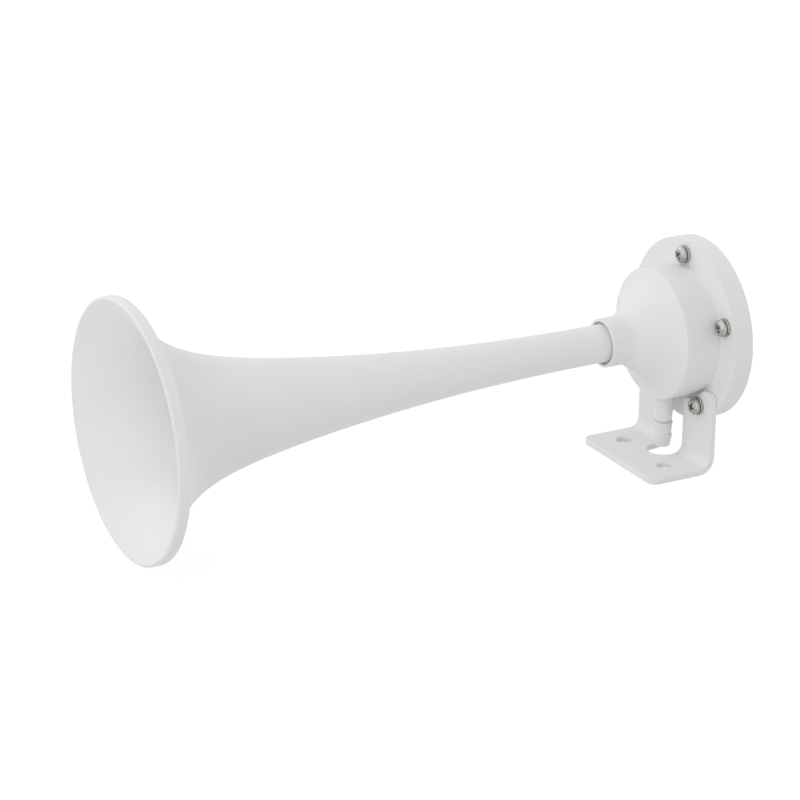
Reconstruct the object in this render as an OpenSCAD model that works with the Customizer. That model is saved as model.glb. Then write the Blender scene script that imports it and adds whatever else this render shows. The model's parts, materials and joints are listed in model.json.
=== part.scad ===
// Air horn: a turned trumpet screwed into a round diaphragm housing, held by
// an L-shaped foot bracket, with a hose barb for the air underneath.
// Millimetres. The origin lies midway between the two foot bolt holes on the
// underside of the foot. +Z is up and the trumpet's mouth points along -Y.

/* [Trumpet] */
// Height of the horn's axis above the mounting surface
axis_h = 72.1; // [67:0.1:90]
// Length of the trumpet from the collar's mouth to the front of the rim
horn_len = 277.4; // [200:0.1:340]
// Outside radius of the straight tube
tube_r = 10.3; // [9.6:0.1:12]
// Wall thickness of the tube, which grows towards the rim
horn_wall = 1.7; // [1.4:0.1:2.6]
// Outside radius of the rim bead
rim_r = 68; // [55:0.1:80]
// Thickness of the rim bead across
rim_t = 2.6; // [2.2:0.1:4]
// Width of the rim bead along the axis
rim_w = 6.4; // [5:0.1:9]

/* [Housing] */
// Radius of the drum in front of the flange
drum_r = 36.2; // [34:0.1:41]
// Depth of the drum from the flange face to its front edge
drum_d = 20.6; // [18:0.1:26]
// Rounding of the drum's front edge
drum_round = 1.2; // [1:0.1:4]
// Slope of the drum's face at its edge, in degrees from square
face_angle = 12; // [6:1:20]
// Radius of the hollow that sweeps from the face into the neck
face_fillet = 23; // [16:0.5:24]
// Slope of the neck's cone, in degrees from the axis
neck_angle = 38; // [34:1:42]
// Radius of the hollow that sweeps from the cone into the collar
neck_fillet = 10; // [8:0.5:22]
// Length of the collar's straight end
collar_len = 8.6; // [3:0.1:14]
// Wall of the collar around its open socket
collar_lip = 1.6; // [1:0.1:3]
// Gap around the tube in the open socket
socket_gap = 1.4; // [0.8:0.1:2]
// Depth of the open socket
socket_d = 3; // [3:0.5:10]
// Length of the tube held inside the collar
tube_hold = 23; // [18:0.5:24]
// Thickness of the flange that belongs to the housing
flange_t = 6.5; // [6:0.1:9]
// Width of the flange outside the circle of screws
flange_edge = 7.7; // [6.5:0.1:12]
// Wall of the drum around the air chamber
drum_wall = 4.7; // [4:0.1:7]
// Thickness of the drum's front wall
front_wall = 4.5; // [3:0.1:6]
// Wall thickness of the central nozzle at its seat
nozzle_wall = 2.4; // [1.6:0.1:4]

/* [Diaphragm and seals] */
// Width of the ring where the gaskets clamp the diaphragm
gasket_w = 5.7; // [4.5:0.1:5.9]
// Thickness of the diaphragm
diaphragm_t = 0.4; // [0.3:0.05:0.8]
// Thickness of the gasket in front of the diaphragm
front_gasket_t = 0.8; // [0.5:0.1:1.2]
// Thickness of the soft ring behind the diaphragm
rear_gasket_t = 1.2; // [0.8:0.1:1.6]
// Clearance around the diaphragm in its recess
recess_gap = 0.3; // [0.2:0.05:0.5]
// Thickness of the seal at the inner end of the tube
tube_seal_t = 1.2; // [0.8:0.1:2]
// Thickness of the seal under the hose barb
barb_seal_t = 0.8; // [0.5:0.1:1.2]

/* [Back cover] */
// Thickness of the back cover at its rim
cover_t = 5.75; // [5:0.05:8]
// Depth of the hollow behind the diaphragm
cover_hollow = 2.5; // [1:0.1:3]
// Height of the raised middle of the cover
cover_rise = 1.4; // [0.5:0.1:3]
// How far the raised middle keeps inside the drum's radius
cover_inset = 2.2; // [1:0.1:12]
// Rounding of the cover's outer edge
cover_round = 1.2; // [0.5:0.1:2]

/* [Screws] */
// Gap between the screw heads and the drum
head_gap = 1.45; // [0.9:0.05:4]
// How far outside the circle of the other screws the bracket's two screws lie
clamp_out = 1; // [0:0.1:2]
// Angle of the bracket's two screws below the level of the axis
clamp_angle = 57.5; // [54:0.5:60]
// Radius of a screw's thread
screw_r = 2.5; // [2:0.1:3]
// Clearance around a screw in the flange and the bracket
screw_gap = 0.25; // [0.1:0.05:0.5]
// Clearance around a screw or tube in its thread
thread_gap = 0.05; // [0.02:0.01:0.08]
// Distance of a screw's tip from the cover's back
tip_inset = 0.75; // [0.25:0.05:2]
// Radius of a screw's head
head_r = 4.65; // [4:0.05:5]
// Height of a screw's head
head_h = 3.7; // [2.4:0.1:4]
// Height of the straight side of a screw's head
head_side_h = 1.7; // [0.8:0.1:2]
// Length of the cross recess
cross_len = 4.8; // [3:0.1:5.5]
// Width of the cross recess
cross_w = 1.1; // [0.8:0.1:1.4]
// Depth of the cross recess
cross_d = 1.9; // [1:0.1:2.2]
// Outside radius of a lock washer
washer_r = 4.95; // [4:0.05:5.2]
// Thickness of a lock washer
washer_t = 1.5; // [0.8:0.1:1.8]
// Clearance around a screw in its lock washer
washer_gap = 0.15; // [0.1:0.05:0.4]
// Width of the split in a lock washer
washer_split = 0.9; // [0.5:0.1:1.5]

/* [Bracket] */
// Thickness of the bracket's plate
bracket_t = 3.4; // [2.5:0.1:4]
// Width of the legs outside their screws
leg_side = 12.4; // [8:0.1:16]
// Height of the legs above their screws
leg_rise = 9.4; // [6.5:0.1:12]
// Length of the foot in front of its bolt holes
foot_front = 17.9; // [12:0.1:30]
// Inside radius of the bend
bend_in_r = 5.7; // [1:0.1:8]
// Rounding of the foot's front corners
foot_corner_r = 5; // [2:0.5:8]
// Rounding of the legs' top corners
leg_corner_r = 5; // [2:0.5:8]
// Clearance between the legs and the drum
drum_gap = 2.1; // [0.5:0.1:2.5]
// Room for the hose around the barb's collar in the slot
hose_gap = 3.3; // [2:0.1:5]
// Distance between the two foot bolt holes
bolt_span = 41.8; // [36:0.1:48]
// Diameter of a foot bolt hole
bolt_d = 8.7; // [6:0.1:10]
// Distance from the flange face forward to the foot bolt holes
bolt_reach = 22; // [20:0.1:28]

/* [Air inlet] */
// Radius of the air bore through the barb and up into the chamber
barb_bore_r = 2.4; // [1.8:0.1:2.8]
// Wall of the barb's screwed spigot
spigot_wall = 0.8; // [0.6:0.1:1.5]
// Length of the barb's screwed spigot
spigot_len = 8; // [5:0.1:10]
// Wall of the inlet boss around the spigot
boss_wall = 1.4; // [1.2:0.1:3]
// Growth of the boss's radius from its lower end to the drum
boss_taper = 1.1; // [0.3:0.1:2]
// Length of the boss below the drum
boss_len = 15.2; // [12:0.1:17]
// How far the barb's collar stands out past the boss
barb_collar_lip = 0.6; // [0.2:0.1:1.5]
// Thickness of the barb's collar
barb_collar_t = 1; // [1:0.1:2.5]
// Wall of the barb where it is thinnest between its ridges
barb_wall = 2; // [1.2:0.1:2.5]
// Height of the barb's ridges
ridge_rise = 0.6; // [0.3:0.1:1]
// Length of the barb from its collar to its open end
barb_len = 13; // [10:0.1:14]
// Number of ridges on the barb, each with a slope towards the open end
ridge_count = 2; // [1:1:3]
// Length of the nose, which is the last ridge and its slope
nose_len = 7; // [4:0.1:9]
// Straight stretch of the last ridge, where it grips the hose
nose_grip = 1.2; // [0.5:0.1:2]
// Wall of the barb at its open end
nose_wall = 1.4; // [0.7:0.1:2]

/* [Hidden] */
// Roundness of circles and number of rings along the flare
$fn = 96;
flare_rings = 26;
arc_steps = 8;
// Shape of the flare: the powers of its slow, quick and final opening outside, the
// shares of the growth in radius that the first two give, and the power of the
// quick opening inside
slow_power = 2.2;
quick_power = 15.5;
edge_power = 50;
slow_share = 0.508;
quick_share = 0.45;
inner_power = 14;
// Angle round the rim's front at which the inside of the bell meets it
lip_angle = 150;
// How strongly the rings crowd towards the rim
ring_crowding = 1.9;
// Overshoot that keeps cuts clean
cut = 1;
// Corner breaks on turned and pressed pieces
edge_break = 0.6;
// Screws, counted clockwise from the top one, and the two that clamp the bracket
screw_count = 5;
clamp_screws = [2, 3];

// Radii from the axis outwards
throat_r = tube_r - horn_wall;
socket_r = tube_r + socket_gap;
collar_r = socket_r + collar_lip;
chamber_r = drum_r - drum_wall;
diaphragm_r = chamber_r + gasket_w;
recess_r = diaphragm_r + recess_gap;
screw_circle_r = drum_r + head_gap + head_r;
flange_r = screw_circle_r + flange_edge;
cover_rise_r = drum_r - cover_inset;
screw_hole_r = screw_r + screw_gap;
thread_hole_r = screw_r + thread_gap;

// Outline of the face and the neck, as [radius, distance forward of the flange
// face]: a rounded edge, a hollow arc, a cone and a second hollow arc
edge_angle = 90 - face_angle;
round_centre = [drum_r - drum_round, drum_d - drum_round];
face_centre = round_centre + (drum_round + face_fillet) * direction(edge_angle);
cone_base = face_centre - face_fillet * direction(neck_angle);
cone_top_r = collar_r + neck_fillet * (1 - cos(neck_angle));
cone_top_s = cone_base[1] + (cone_base[0] - cone_top_r) / tan(neck_angle);
neck_centre = [collar_r + neck_fillet, cone_top_s + neck_fillet * sin(neck_angle)];

// Distances along the horn's axis, forward from the flange face
flange_y = bolt_reach;
recess_depth = front_gasket_t + diaphragm_t + rear_gasket_t;
seat_s = recess_depth - flange_t - front_gasket_t;
chamber_s = drum_d - front_wall;
collar_d = neck_centre[1] + collar_len;
tube_end_s = collar_d - tube_hold;
shoulder_s = tube_end_s - tube_seal_t;
rim_s = collar_d + horn_len;

// Inlet: its axis at the middle of the drum's depth, its radii, and its heights
// above the mounting surface
inlet_reach = drum_d / 2;
inlet_y = flange_y - inlet_reach;
spigot_r = barb_bore_r + spigot_wall;
boss_end_r = spigot_r + boss_wall;
barb_collar_r = boss_end_r + barb_collar_lip;
barb_r = barb_bore_r + barb_wall;
ridge_r = barb_r + ridge_rise;
nose_r = barb_bore_r + nose_wall;
boss_end_z = axis_h - drum_r - boss_len;
collar_top_z = boss_end_z - barb_seal_t;
collar_end_z = collar_top_z - barb_collar_t;
barb_end_z = collar_end_z - barb_len;

// Bracket: legs around their two screws, foot around its bolt holes
leg_screw = screw_out(clamp_screws[0]) * direction(screw_angle(clamp_screws[0]));
bracket_w = 2 * (leg_screw[0] + leg_side);
leg_h = axis_h + leg_screw[1] + leg_rise;
foot_reach = bolt_reach + foot_front;
bend_r = bend_in_r + bracket_t;
slot_r = barb_collar_r + hose_gap;

// Places a piece drawn along +Z on the horn's axis, with +Z towards the mouth
module on_axis(s = 0)
    translate([0, flange_y, axis_h]) rotate([90, 0, 0]) translate([0, 0, s]) children();

// Step of length 1 at an angle. It is also square to an outline that slopes away
// from the axis at that angle.
function direction(a) = [cos(a), sin(a)];

// Points of an arc about a centre, from one angle to another
function arc(centre, r, from, to) =
    [for (i = [0:arc_steps]) centre + r * direction(from + (to - from) * i / arc_steps)];

// The same points without the first, to join on to a point that is already there
function joined_arc(centre, r, from, to) =
    let (points = arc(centre, r, from, to)) [for (i = [1:arc_steps]) points[i]];

// Share of the flare's growth in radius at a share u of its length, outside and inside
function outer_growth(u) =
    slow_share * pow(u, slow_power) + quick_share * pow(u, quick_power)
    + (1 - slow_share - quick_share) * pow(u, edge_power);
function inner_growth(u) = slow_share * pow(u, slow_power) + (1 - slow_share) * pow(u, inner_power);

// Share of the flare's length at ring i, with the rings closer together near the rim
function ring_u(i) = 1 - pow(1 - i / flare_rings, ring_crowding);

// Point of a flare from a start to an end, both as [radius, distance], at a share u
// of its length and a share of its growth
function flare_point(start, end, u, growth) =
    [start[0] + growth * (end[0] - start[0]), start[1] + u * (end[1] - start[1])];

module trumpet() {
    bead_r = rim_t / 2;
    bead = concat([[rim_r - edge_break, rim_s - rim_w], [rim_r, rim_s - rim_w + edge_break]],
                  arc([rim_r - bead_r, rim_s - bead_r], bead_r, 0, lip_angle));
    bead_back = [rim_r - rim_t, rim_s - rim_w];
    lip = bead[len(bead) - 1];
    outside = [for (i = [0:flare_rings])
                   flare_point([tube_r, collar_d], bead_back, ring_u(i), outer_growth(ring_u(i)))];
    inside = [for (i = [flare_rings - 1:-1:0])
                  flare_point([throat_r, collar_d], lip, ring_u(i), inner_growth(ring_u(i)))];
    color("whitesmoke") on_axis() rotate_extrude()
        polygon(concat([[throat_r, tube_end_s], [tube_r, tube_end_s]], outside, bead, inside));
}

module tube_seal()
    color("dimgray") on_axis(shoulder_s) tube(tube_r, throat_r, tube_seal_t);

// Straight ring with a round hole
module tube(outer_r, inner_r, length)
    linear_extrude(length) difference() {
        circle(outer_r);
        circle(inner_r);
    }

// Whether screw i clamps the bracket
function clamps(i) = i == clamp_screws[0] || i == clamp_screws[1];

// Angle of screw i, and its distance from the axis, as seen from the mouth
function screw_angle(i) =
    !clamps(i) ? 90 - i * 360 / screw_count : i == clamp_screws[0] ? -clamp_angle : clamp_angle - 180;
function screw_out(i) = screw_circle_r + (clamps(i) ? clamp_out : 0);

module at_screw(i)
    rotate([0, 0, screw_angle(i)]) translate([screw_out(i), 0, 0]) children();

// Turned outline of the flange, the drum and the neck, without their cavities
module housing_outline()
    polygon(concat(
        [[0, -flange_t], [flange_r, -flange_t], [flange_r, -edge_break], [flange_r - edge_break, 0],
         [drum_r + edge_break, 0], [drum_r, edge_break]],
        arc(round_centre, drum_round, 0, edge_angle),
        joined_arc(face_centre, face_fillet, 180 + edge_angle, 180 + neck_angle),
        arc(neck_centre, neck_fillet, 180 + neck_angle, 180),
        [[collar_r, collar_d - edge_break], [collar_r - edge_break, collar_d], [0, collar_d]]));

module front_housing() {
    difference() {
        color("white") union() {
            on_axis() difference() {
                rotate_extrude() housing_outline();
                // Air chamber, and the recess for the diaphragm and its gaskets
                translate([0, 0, -flange_t - cut]) {
                    cylinder(h = chamber_s + flange_t + cut, r = chamber_r);
                    cylinder(h = recess_depth + cut, r = recess_r);
                }
            }
            on_axis(seat_s) cylinder(h = chamber_s - seat_s + cut, r = throat_r + nozzle_wall);
            inlet_boss();
        }
        color("silver") on_axis() {
            // Nozzle, seat of the tube and open socket
            translate([0, 0, -flange_t]) cylinder(h = collar_d + flange_t + cut, r = throat_r);
            translate([0, 0, shoulder_s]) cylinder(h = collar_d, r = tube_r + thread_gap);
            translate([0, 0, collar_d - socket_d]) cylinder(h = socket_d + cut, r = socket_r);
            for (i = [0:screw_count - 1])
                at_screw(i) translate([0, 0, -flange_t - cut])
                    cylinder(h = flange_t + drum_round, r = screw_hole_r);
        }
        inlet_bore();
    }
}

// Cast boss that reaches from the drum down to the hose barb
module inlet_boss()
    translate([0, inlet_y, boss_end_z])
        cylinder(h = boss_len + drum_wall / 2, r1 = boss_end_r, r2 = boss_end_r + boss_taper);

// Air passage up into the chamber, and the thread for the barb's spigot
module inlet_bore() {
    translate([0, inlet_y, boss_end_z - cut]) {
        cylinder(h = spigot_len + cut, r = spigot_r + thread_gap);
        cylinder(h = boss_len + drum_wall + 2 * cut, r = barb_bore_r);
    }
}

module front_gasket()
    color("dimgray") on_axis(seat_s) tube(diaphragm_r, chamber_r, front_gasket_t);

module diaphragm()
    color("silver") on_axis(seat_s - diaphragm_t) cylinder(h = diaphragm_t, r = diaphragm_r);

module rear_gasket()
    color("dimgray") on_axis(-flange_t) tube(diaphragm_r, chamber_r, rear_gasket_t);

module back_cover() {
    back_s = -flange_t - cover_t;
    edge = arc([flange_r - cover_round, back_s + cover_round], cover_round, 0, -90);
    color("white") on_axis() difference() {
        rotate_extrude() polygon(concat(
            [[0, -flange_t - cover_hollow], [chamber_r, -flange_t - cover_hollow],
             [chamber_r, -flange_t], [flange_r, -flange_t]],
            edge,
            [[cover_rise_r, back_s], [cover_rise_r - cover_rise, back_s - cover_rise],
             [0, back_s - cover_rise]]));
        for (i = [0:screw_count - 1])
            at_screw(i) translate([0, 0, back_s - cut]) cylinder(h = cover_t + 2 * cut, r = thread_hole_r);
    }
}

// Square corner outside a quarter circle, with the corner at the origin
module corner_waste(r)
    difference() {
        translate([-cut, -cut]) square(r + cut);
        translate([r, r]) circle(r);
    }

// Side view of the bent plate, with the flange face at x = 0 and the floor at y = 0
module bracket_side() {
    translate([-bracket_t, bend_r]) square([bracket_t, leg_h - bend_r]);
    translate([-foot_reach, 0]) square([foot_reach - bend_r, bracket_t]);
    intersection() {
        translate([-bend_r, 0]) square(bend_r);
        translate([-bend_r, bend_r]) difference() {
            circle(bend_r);
            circle(bend_r - bracket_t);
        }
    }
}

module bracket() {
    half_w = bracket_w / 2;
    color("white") difference() {
        translate([-half_w, flange_y, 0]) rotate([90, 0, 90]) linear_extrude(bracket_w) bracket_side();
        // Slot from the top of the legs, through the bend, to a round end in the foot
        translate([-slot_r, inlet_y, -cut]) cube([2 * slot_r, inlet_reach + cut, leg_h + 2 * cut]);
        translate([0, inlet_y, -cut]) cylinder(h = bracket_t + 2 * cut, r = slot_r);
        // Arc that clears the drum
        on_axis(-cut) cylinder(h = bracket_t + 2 * cut, r = drum_r + drum_gap);
        for (side = [-1, 1]) {
            translate([side * bolt_span / 2, 0, -cut]) cylinder(h = bracket_t + 2 * cut, r = bolt_d / 2);
            translate([side * half_w, flange_y - foot_reach, -cut]) mirror([side > 0 ? 1 : 0, 0, 0])
                linear_extrude(bracket_t + 2 * cut) corner_waste(foot_corner_r);
            translate([side * half_w, flange_y + cut, leg_h]) rotate([90, 0, 0])
                mirror([side > 0 ? 1 : 0, 0, 0]) mirror([0, 1, 0])
                linear_extrude(bracket_t + 2 * cut) corner_waste(leg_corner_r);
        }
        for (i = clamp_screws)
            on_axis(-cut) at_screw(i) cylinder(h = bracket_t + 2 * cut, r = screw_hole_r);
    }
}

module hose_barb() {
    top = barb_len + barb_collar_t;
    end = top + barb_seal_t + spigot_len - thread_gap;
    // Above the nose, each ridge narrows towards the open end
    pitch = (barb_len - nose_len) / max(1, ridge_count - 1);
    ridges = [for (i = [ridge_count - 1:-1:1])
                  for (p = [[ridge_r, pitch], [barb_r, 0]]) p + [0, nose_len + (i - 1) * pitch]];
    color("white") translate([0, inlet_y, barb_end_z]) rotate_extrude() polygon(concat(
        [[barb_bore_r, 0], [barb_bore_r, end], [spigot_r, end], [spigot_r, top], [barb_collar_r, top],
         [barb_collar_r, barb_len]],
        ridges, [[ridge_r, nose_len], [ridge_r, nose_len - nose_grip], [nose_r, 0]]));
}

module barb_seal()
    color("gainsboro") translate([0, inlet_y, collar_top_z])
        tube(boss_end_r, spigot_r + thread_gap, barb_seal_t);

// Height of the face that washer i rests on
function washer_seat(i) = clamps(i) ? bracket_t : 0;

// Pan head screw i with a cross recess, through to just inside the cover's back
module screw(i) {
    head_s = washer_seat(i) + washer_t;
    tip_s = tip_inset - flange_t - cover_t;
    dome_h = head_h - head_side_h;
    dome_r = (head_r * head_r + dome_h * dome_h) / (2 * dome_h);
    dome_angle = asin(head_r / dome_r);
    dome = joined_arc([0, head_s + head_h - dome_r], dome_r, 90 - dome_angle, 90);
    color("silver") on_axis() at_screw(i) difference() {
        rotate_extrude() polygon(concat(
            [[0, tip_s], [screw_r - edge_break, tip_s], [screw_r, tip_s + edge_break], [screw_r, head_s],
             [head_r - edge_break / 2, head_s], [head_r, head_s + edge_break / 2],
             [head_r, head_s + head_side_h]],
            dome));
        for (a = [0, 90])
            rotate([0, 0, a]) translate([-cross_len / 2, -cross_w / 2, head_s + head_h - cross_d])
                cube([cross_len, cross_w, cross_d + cut]);
    }
}

module lock_washer(i)
    color("darkgray") on_axis(washer_seat(i)) at_screw(i) difference() {
        tube(washer_r, screw_r + washer_gap, washer_t);
        translate([0, -washer_split / 2, -cut]) cube([washer_r + cut, washer_split, washer_t + 2 * cut]);
    }

module flange_screw_1() screw(0);
module flange_screw_2() screw(1);
module bracket_screw_1() screw(2);
module bracket_screw_2() screw(3);
module flange_screw_3() screw(4);

trumpet();
tube_seal();
front_housing();
front_gasket();
diaphragm();
rear_gasket();
back_cover();
bracket();
hose_barb();
barb_seal();
flange_screw_1();
flange_screw_2();
bracket_screw_1();
bracket_screw_2();
flange_screw_3();
lock_washer(0);  // lock_washer_1
lock_washer(1);  // lock_washer_2
lock_washer(2);  // lock_washer_3
lock_washer(3);  // lock_washer_4
lock_washer(4);  // lock_washer_5
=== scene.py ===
# %% [markdown]
# # The looks of a small air horn
# A single-trumpet air horn is a turned bell screwed into a cast housing. Compressed air enters
# from below, fills a ring-shaped chamber and lifts a thin steel disc off its seat hundreds of
# times a second, and the bell makes that loud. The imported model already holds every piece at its
# real size. This notebook dresses it: pieces that show are rebuilt with rounded edges, threads
# and recesses, and every surface gets a finish made of shader nodes. All of it stays in the frame
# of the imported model, in metres, so nothing is fitted by eye.

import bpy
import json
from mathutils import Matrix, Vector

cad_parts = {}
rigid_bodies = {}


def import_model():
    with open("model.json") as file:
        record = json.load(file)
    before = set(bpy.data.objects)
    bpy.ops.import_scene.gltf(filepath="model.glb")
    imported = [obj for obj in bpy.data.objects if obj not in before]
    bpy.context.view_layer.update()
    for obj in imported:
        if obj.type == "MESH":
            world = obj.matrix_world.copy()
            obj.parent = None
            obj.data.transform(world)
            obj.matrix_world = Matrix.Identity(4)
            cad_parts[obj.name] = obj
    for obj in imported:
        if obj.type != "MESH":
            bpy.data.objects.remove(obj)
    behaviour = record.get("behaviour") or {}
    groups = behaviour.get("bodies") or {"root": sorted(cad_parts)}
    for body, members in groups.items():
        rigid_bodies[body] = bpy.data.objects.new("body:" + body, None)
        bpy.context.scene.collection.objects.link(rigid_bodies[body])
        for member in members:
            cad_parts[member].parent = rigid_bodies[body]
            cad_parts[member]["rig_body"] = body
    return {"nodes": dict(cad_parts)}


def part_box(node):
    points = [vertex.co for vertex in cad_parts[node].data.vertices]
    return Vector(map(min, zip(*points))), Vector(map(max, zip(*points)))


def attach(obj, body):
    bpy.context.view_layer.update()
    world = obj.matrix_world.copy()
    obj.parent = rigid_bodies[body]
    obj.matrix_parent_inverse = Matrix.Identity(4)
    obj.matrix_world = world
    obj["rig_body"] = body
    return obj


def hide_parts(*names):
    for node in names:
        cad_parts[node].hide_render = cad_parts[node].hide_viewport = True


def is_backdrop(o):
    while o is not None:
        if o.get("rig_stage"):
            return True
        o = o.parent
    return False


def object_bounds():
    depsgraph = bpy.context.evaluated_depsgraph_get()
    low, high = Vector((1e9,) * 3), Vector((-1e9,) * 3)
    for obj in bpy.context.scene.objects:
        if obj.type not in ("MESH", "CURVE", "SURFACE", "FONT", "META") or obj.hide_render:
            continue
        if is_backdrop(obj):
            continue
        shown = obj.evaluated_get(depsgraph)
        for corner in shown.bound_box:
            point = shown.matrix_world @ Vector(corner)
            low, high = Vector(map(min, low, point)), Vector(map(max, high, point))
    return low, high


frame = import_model()
cad_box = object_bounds()

# %% Libraries and units
import json
from math import asin, atan2, cos, hypot, pi, radians, sin, sqrt, tan

import bmesh
import bpy
from mathutils import Matrix, Vector
from mathutils.geometry import tessellate_polygon

MM = 0.001
TAU = 2 * pi
scene = bpy.context.scene
print("Sizes below are in millimetres and meshes are in metres")

# %% [markdown]
# ## Camera
# The picture was taken from the front right with a long lens, which keeps the bell from looking
# larger than it is. A camera in Blender can be aimed with a constraint, by hand, or by writing
# its matrix. The matrix is the way here, because its three columns are simply the picture's
# right, its up and the way back to the lens, and the small roll of the picture goes into them too.

# %% Camera
def towards(turn, height):
    """Direction from the horn to a place, turned from -Y towards +X and raised, in radians."""
    return Vector((sin(turn) * cos(height), -cos(turn) * cos(height), sin(height)))


azimuth, elevation, roll = radians(61.784), radians(21.168), radians(0.19)
lens_distance = 1530.33 * MM
view_middle = Vector((0, -128, 72.107)) * MM
aim_right, aim_up = -21.264 * MM, -13.95 * MM
focal_px, photo_px = 2938.65, 800

back = towards(azimuth, elevation)
level = Vector((cos(azimuth), sin(azimuth), 0))
right = level * cos(roll) + back.cross(level) * sin(roll)
up = back.cross(right)

camera = bpy.data.objects.new("camera", bpy.data.cameras.new("camera"))
scene.collection.objects.link(camera)
camera.data.sensor_width = 36
camera.data.lens = camera.data.sensor_width * focal_px / photo_px
camera.matrix_world = Matrix((right, up, back)).transposed().to_4x4()
camera.location = view_middle + back * lens_distance + right * aim_right + up * aim_up
scene.camera = camera
print(f"lens of {camera.data.lens:.1f} mm at {camera.location.length:.2f} m")

# %% [markdown]
# ## Ground, sky and lamps
# A white object on a white ground is drawn by small differences in light. A light tent would give
# none at all, so the sky stays below white and three wide lamps stand around the horn: two before
# it, and a weaker one behind it that lights its upper edges. The camera has to see pure white
# around the horn, though. More light would wash the horn out, so the ground and the sky tell by
# the kind of ray who is looking: the camera, a mirror and glass see white, and everything else
# sees a plain pale studio. Seen from below the ground lets the view through, so that the underside
# can be looked at too.

# %% Helpers that place and join shader nodes
def place(tree, kind, inputs=(), **settings):
    """New node in a tree. Inputs are given as {socket: value} or {socket: another's output}."""
    made = tree.nodes.new(kind)
    for name, value in settings.items():
        setattr(made, name, value)
    for socket, value in dict(inputs).items():
        if isinstance(value, bpy.types.NodeSocket):
            tree.links.new(value, made.inputs[socket])
        else:
            made.inputs[socket].default_value = value
    return made


def seen_directly(tree):
    """Output that is 1 for rays of the camera, of mirrors and of glass, and 0 for soft light."""
    ray = place(tree, "ShaderNodeLightPath").outputs
    seen = ray["Is Camera Ray"]
    for kind in ("Is Glossy Ray", "Is Transmission Ray"):
        larger = place(tree, "ShaderNodeMath", {0: seen, 1: ray[kind]}, operation="MAXIMUM")
        seen = larger.outputs[0]
    return seen


print("one call places a node, sets its values and joins it to the nodes before it")

# %% Sky
sky_level = 0.635

scene.world = bpy.data.worlds.new("studio")
scene.world.use_nodes = True
tree = scene.world.node_tree
tree.nodes.clear()
soft = place(tree, "ShaderNodeBackground", {"Strength": sky_level})
bright = place(tree, "ShaderNodeBackground", {"Strength": 1.0})
for background in (soft, bright):
    background.inputs["Color"].default_value = (1, 1, 1, 1)
sky = place(tree, "ShaderNodeMixShader", {0: seen_directly(tree), 1: soft.outputs[0],
                                          2: bright.outputs[0]})
place(tree, "ShaderNodeOutputWorld", {"Surface": sky.outputs[0]})
print(f"sky at {sky_level} for soft light and at 1 for the camera")

# %% Ground
ground_drop = 0.05 * MM
ground_half = 15.0
ground_colour = (0.87, 0.87, 0.87, 1)
shown_glow, shown_colour = 0.82, (0.27, 0.27, 0.27, 1)

ground_mesh = bpy.data.meshes.new("ground")
corners = [(-1, -1), (1, -1), (1, 1), (-1, 1)]
ground_mesh.from_pydata([(x * ground_half, y * ground_half, -ground_drop) for x, y in corners],
                        [], [(0, 1, 2, 3)])
ground = bpy.data.objects.new("ground", ground_mesh)
scene.collection.objects.link(ground)

ground_paint = bpy.data.materials.new("ground")
ground_paint.use_nodes = True
tree = ground_paint.node_tree
tree.nodes.clear()
pale = place(tree, "ShaderNodeBsdfDiffuse", {"Color": ground_colour})
shadow = place(tree, "ShaderNodeBsdfDiffuse", {"Color": shown_colour})
glow = place(tree, "ShaderNodeEmission", {"Strength": shown_glow})
shown = place(tree, "ShaderNodeAddShader", {0: glow.outputs[0], 1: shadow.outputs[0]})
top = place(tree, "ShaderNodeMixShader", {0: seen_directly(tree), 1: pale.outputs[0],
                                          2: shown.outputs[0]})
side = place(tree, "ShaderNodeNewGeometry")
through = place(tree, "ShaderNodeBsdfTransparent")
both = place(tree, "ShaderNodeMixShader", {0: side.outputs["Backfacing"], 1: top.outputs[0],
                                           2: through.outputs[0]})
place(tree, "ShaderNodeOutputMaterial", {"Surface": both.outputs[0]})
ground_mesh.materials.append(ground_paint)
ground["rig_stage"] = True
print(f"ground of {2 * ground_half:.0f} m, {ground_drop / MM} mm under the foot")

# %% Lamps
lamp_elevation, lamp_distance, lamp_size = radians(35), 2.5, 1.6
LAMPS = {"right_lamp": (radians(30), 12.3), "left_lamp": (radians(-60), 12.9),
         "back_lamp": (radians(180), 7.3)}

for name, (turn, watts) in LAMPS.items():
    lamp = bpy.data.objects.new(name, bpy.data.lights.new(name, "AREA"))
    lamp.data.size, lamp.data.energy = lamp_size, watts
    lamp.location = view_middle + towards(turn, lamp_elevation) * lamp_distance
    lamp.rotation_mode = "QUATERNION"
    lamp.rotation_quaternion = towards(turn, lamp_elevation).to_track_quat("Z", "Y")
    scene.collection.objects.link(lamp)
scene.view_settings.view_transform = "Standard"
print(f"{len(LAMPS)} lamps, {lamp_size} m wide and {lamp_distance} m away")

# %% [markdown]
# ## Measures
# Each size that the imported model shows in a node's box is read from there: radii, lengths and
# heights. What a box can't show, such as a wall or the curve of the bell, is written here as the
# maker's drawing would give it.

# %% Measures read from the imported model
def box_mm(node):
    """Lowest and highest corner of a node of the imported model, in millimetres."""
    low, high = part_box(node)
    return low / MM, high / MM


trumpet_low, trumpet_high = box_mm("trumpet")
housing_low, housing_high = box_mm("front_housing")
bracket_low, bracket_high = box_mm("bracket")
barb_low, barb_high = box_mm("hose_barb")
top_washer_low, top_washer_high = box_mm("lock_washer_1")
top_screw_low, top_screw_high = box_mm("flange_screw_1")
cover_high = box_mm("back_cover")[1]
leg_washer_high = box_mm("lock_washer_3")[1]
barb_seal_low = box_mm("barb_seal")[0]

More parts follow.
